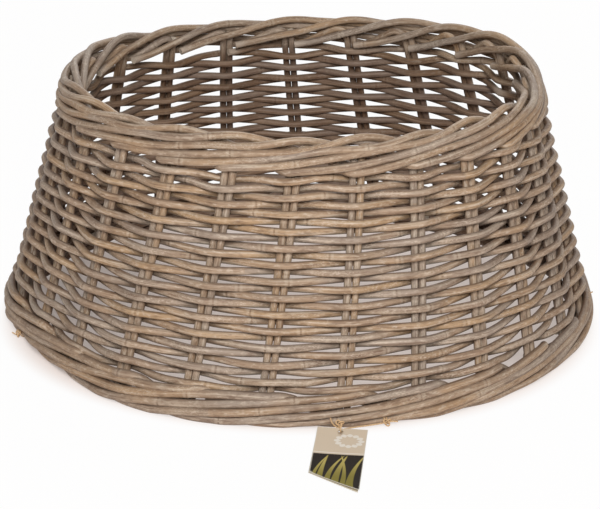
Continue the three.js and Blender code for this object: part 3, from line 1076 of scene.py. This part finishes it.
def make_twines():
    outside = STAKE_RADIUS + TWINE_DIAMETER + TWINE_CLEARANCE + KNOT_SIZE
    ring_knot = knot_piece("tag_string_ring_knot", point_near(HINGE, TAG_AXES, RING_KNOT), TAG_AXES)
    place, axes = bottom_strand(STRING_PAIR, TIED_TRAVEL)
    string_knot = knot_piece("tag_string_knot", offset_point(place, axes, 0, outside, 0), axes)
    cord_piece("tag_string_twine", "tag_string", tag_string_points())
    ties = [
        ("left_tie", LEFT_TIE_PAIR, TIED_TRAVEL, LEFT_TIE_START, LEFT_TIE_ENDS),
        ("right_tie", RIGHT_TIE_PAIR, DIVING_TRAVEL, RIGHT_TIE_START, RIGHT_TIE_ENDS),
    ]
    for node, pair, travelled, start_angle, ends in ties:
        place, axes = bottom_strand(pair, travelled)
        knot = knot_piece(f"{node}_knot", offset_point(place, axes, 0, outside, 0), axes)
        cord_piece(f"{node}_twine", node, tie_points(pair, travelled, start_angle, ends))


make_twines()


def stake_line(pair):
    """The middle line of a stake with both of its rolled ends, from the bottom to the top, and
    its thickness along it."""
    bottom = [border_place(pair, -1, *stop) for stop in FOOT_COURSE]
    top = [border_place(pair, 1, *stop) for stop in RIM_COURSE]
    stops = bottom[::-1] + top
    drawn = [upright_point(place, slope, PAIR_OFFSET, out) for place, slope, out in stops]
    line = smooth_line(stops, running_lengths(drawn), ROD_STEP)
    points, thickness = [], []
    for k, (place, slope, outward) in enumerate(line):
        at = k * ROD_STEP * STAKE_PACE
        travelled = abs(place - pair)
        rolled = min(max(travelled - ROLL_START, 0) / ROLL_RUN, 1)
        # Where the tag hangs or twine goes round, a strand isn't free and lies as drawn.
        free = 1
        if slope < SLOPE_LENGTH / 2:
            free -= bump_at(upright_angle(place, slope, PAIR_OFFSET), HINGE_ANGLE, KEPT_ANGLE)
            if pair in TWINE_AT:
                free = min(free, 1 - bump_at(travelled, TWINE_AT[pair], KEPT_TRAVEL))
        thickening = FOOT_THICKENING if slope < SLOPE_LENGTH / 2 else RIM_THICKENING
        thick = 1 + thickening * rolled * free - TWINE_THINNING * (1 - free)
        reach = UPRIGHT_WANDER + STRAND_WANDER * rolled
        reach_out = UPRIGHT_WANDER_OUT + STRAND_WANDER_OUT * rolled
        slope += wander(pair + STAKE_SEED, at, reach) * free
        outward += wander(pair + STAKE_OUT_SEED, at, reach_out) * free
        offset = PAIR_OFFSET + STAKE_SPREAD * (1 - rolled)
        point = upright_point(place, slope, offset, outward)
        point.z = max(point.z, STAKE_LOOK / 2 * (1 + ROD_UNEVENNESS) * thick)
        points.append(point)
        thickness.append(thick)
    return points, thickness


def bye_stake_points(pair):
    low = FOOT_LINE + BYE_STAKE_TO_ELBOW
    high = RIM_LINE - STRAND_PITCH - BYE_STAKE_TO_RIM
    count = round((high - low) / BYE_STAKE_STEP)
    points = []
    for k in range(count + 1):
        slope = low + (high - low) * k / count
        outward = wander(pair + BYE_STAKE_SEED, k * BYE_STAKE_PACE, BYE_STAKE_WANDER)
        offset = -PAIR_OFFSET - STAKE_SPREAD
        points.append(upright_point(pair, slope, offset, outward))
    return points


def weaver_points(rod):
    """The middle line of a weaver: in front of one pair and behind the next."""
    touching = (STAKE_LOOK + WEAVER_LOOK) / 2
    first = rod * CROSSINGS_PER_ROD
    points = []
    for k in range(CROSSINGS_PER_ROD * WEAVER_STEPS + 1):
        crossing = first + k / WEAVER_STEPS
        slope = FIRST_ROW - ROW_SPREAD + (LAST_ROW - FIRST_ROW + 2 * ROW_SPREAD) * crossing / CROSSINGS
        reach = touching / (1 - 2 * PAIR_OFFSET / pair_spacing(crossing, slope))
        wave = math.asin(WEAVE_STRAIGHTNESS * math.cos(math.pi * crossing)) / math.asin(WEAVE_STRAIGHTNESS)
        slope += WEAVE_DIP * wave + row_sag(pair_angle(crossing, slope), slope)
        slope += row_press(crossing, slope)
        slope += wander(rod + WEAVER_SEED, crossing * WEAVER_PACE, WEAVER_WANDER)
        outward = -reach * wave
        outward += wander(rod + WEAVER_OUT_SEED, crossing * WEAVER_PACE_OUT, WEAVER_WANDER)
        points.append(wall_point(pair_angle(crossing, slope), slope, outward))
    return points


def make_canes():
    for pair in range(STAKE_PAIRS):
        label = f"{pair + 1:02d}"
        number = 2 * pair + 1
        points, thickness = stake_line(pair)
        cane_piece("stake", label, points, STAKE_LOOK, number, stake_rattan, thickness)
        points = bye_stake_points(pair)
        cane_piece("bye_stake", label, points, STAKE_LOOK, number + 1, stake_rattan)
    for rod in range(WEAVER_RODS):
        number = 2 * STAKE_PAIRS + rod + 1
        points = weaver_points(rod)
        cane_piece("weaver", rod + 1, points, WEAVER_LOOK, number, weaver_rattan)


make_canes()


# Hang tag

def leaf_sides():
    """The four sides of the tag: the way out across each and its distance from the hole's middle."""
    hole_from_top = TAG_EDGE_MARGIN + TAG_HOLE_DIAMETER / 2
    slant = math.atan2(TAG_LONG_SIDE - TAG_SHORT_SIDE, TAG_WIDTH)
    foot = (TAG_SHORT_SIDE - hole_from_top) * math.cos(slant) + TAG_HOLE_FROM_LEFT * math.sin(slant)
    return [
        (Vector((1, 0)), TAG_WIDTH - TAG_HOLE_FROM_LEFT),
        (Vector((-1, 0)), TAG_HOLE_FROM_LEFT),
        (Vector((0, 1)), hole_from_top),
        (Vector((-math.sin(slant), -math.cos(slant))), foot),
    ]


def leaf_piece(name, lift, turn, curl, front, back):
    """One leaf of the tag, as a card with its hole, curled up at its lower right corner and a
    little along its left side."""
    hole = Vector((0, -STRING_RING_RADIUS, 0))
    left, right = -TAG_HOLE_FROM_LEFT, TAG_WIDTH - TAG_HOLE_FROM_LEFT
    top = TAG_EDGE_MARGIN + TAG_HOLE_DIAMETER / 2 - STRING_RING_RADIUS
    low_left, low_right = top - TAG_SHORT_SIDE, top - TAG_LONG_SIDE
    corners = [(left, top), (left, low_left), (right, low_right), (right, top)]
    corner_angles = [math.atan2(y - hole.y, x - hole.x) % FULL_TURN for x, y in corners]
    angles = sorted([FULL_TURN * k / LEAF_ANGLES for k in range(LEAF_ANGLES)] + corner_angles)
    sides = leaf_sides()
    laid = Matrix.Rotation(TAG_YAW, 4, "Z") @ Matrix.Rotation(TAG_PITCH, 4, "X")
    place = Matrix.Translation(HINGE) @ laid
    around_hole = Matrix.Translation(hole) @ Matrix.Rotation(turn, 4, "Z") @ Matrix.Translation(-hole)

    points, card_places, from_edges = [], [], []
    for half in (0.5, -0.5):
        for ring in range(LEAF_RINGS + 1):
            share = 1 - (1 - ring / LEAF_RINGS) ** RING_CROWDING
            for angle in angles:
                heading = Vector((math.cos(angle), math.sin(angle)))
                faced = [(way.dot(heading), far) for way, far in sides]
                reach = min(far / facing for facing, far in faced if facing > LEAST_FACING)
                offset = heading * (TAG_HOLE_DIAMETER / 2 * (1 - share) + reach * share)
                x, y = hole.x + offset.x, hole.y + offset.y
                away = ((x - left) / TAG_WIDTH) * ((top - y) / TAG_LONG_SIDE) ** 2
                away += LEFT_CURL_SHARE * ((right - x) / TAG_WIDTH) ** 2
                z = lift + half * LEAF_THICKNESS + curl * away
                points.append(place @ around_hole @ Vector((x, y, z)))
                card_places.append((x - left, top - y))
                from_edges.append(min(far - way.dot(offset) for way, far in sides))
    count = len(angles)
    under = (LEAF_RINGS + 1) * count
    faces, material_numbers = [], []
    for ring in range(LEAF_RINGS):
        for k in range(count):
            near, beside = ring * count + k, ring * count + (k + 1) % count
            faces.append((near, near + count, beside + count, beside))
            faces.append((near + under, beside + under, beside + count + under, near + count + under))
            material_numbers += [0, 1]
    for ring in (0, LEAF_RINGS):
        for k in range(count):
            near, beside = ring * count + k, ring * count + (k + 1) % count
            wall = (near, beside, beside + under, near + under)
            faces.append(wall if ring == 0 else wall[::-1])
            material_numbers.append(1)

    mesh = bpy.data.meshes.new(name)
    mesh.from_pydata(points, [], faces)
    mesh.materials.append(front)
    mesh.materials.append(back)
    mesh.polygons.foreach_set("material_index", material_numbers)
    mesh.polygons.foreach_set("use_smooth", [True] * len(faces))
    uv = mesh.uv_layers.new(name="card")
    for loop in mesh.loops:
        uv.data[loop.index].uv = card_places[loop.vertex_index]
    edge = mesh.attributes.new("from_edge", "FLOAT", "POINT")
    edge.data.foreach_set("value", from_edges)
    leaf = add_object(name, mesh)
    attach(leaf, "hang_tag")
    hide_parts("hang_tag")
    return leaf


def make_hang_tag():
    apart = TAG_THICKNESS / 2 - LEAF_THICKNESS / 2
    leaf_piece("tag_front_leaf", apart, 0.0, FRONT_LEAF_CURL, tag_front, tag_back)
    leaf_piece("tag_back_leaf", -apart, BACK_LEAF_TURN, BACK_LEAF_CURL, tag_back, tag_back)


make_hang_tag()


# Stage

def make_floor():
    near, far = -FLOOR_HALF_SIDE, FLOOR_HALF_SIDE
    mesh = bpy.data.meshes.new("floor")
    mesh.from_pydata([(near, near, 0), (far, near, 0), (far, far, 0), (near, far, 0)], [], [(0, 1, 2, 3)])
    mesh.materials.append(floor_material())
    floor = add_object("floor", mesh)


def make_world():
    world = bpy.data.worlds.new("studio")
    world.use_nodes = True
    world.node_tree.nodes.clear()
    tree = Tree(world.node_tree)
    ambient = tree.node("ShaderNodeBackground", {"Color": WHITE, "Strength": AMBIENT})
    bright = tree.node("ShaderNodeBackground", {"Color": WHITE, "Strength": 1.0})
    mixed = tree.mix_shaders(tree.seen_directly(), ambient["Background"], bright["Background"])
    tree.node("ShaderNodeOutputWorld", {"Surface": mixed})
    bpy.context.scene.world = world


def make_lamp(name, place, size, power):
    data = bpy.data.lights.new(name, "AREA")
    data.size = size
    data.energy = power
    lamp = add_object(name, data)
    lamp.location = place
    lamp.rotation_euler = (Vector(place) - Vector(LAMP_AIM)).to_track_quat("Z", "Y").to_euler()


make_floor()
make_world()
make_lamp("key", place=(0.05, -2.5, 1.7), size=1.0, power=73)
make_lamp("back", place=(0.4, 2.4, 1.9), size=2.0, power=34)

bpy.context.scene.view_settings.view_transform = "Standard"
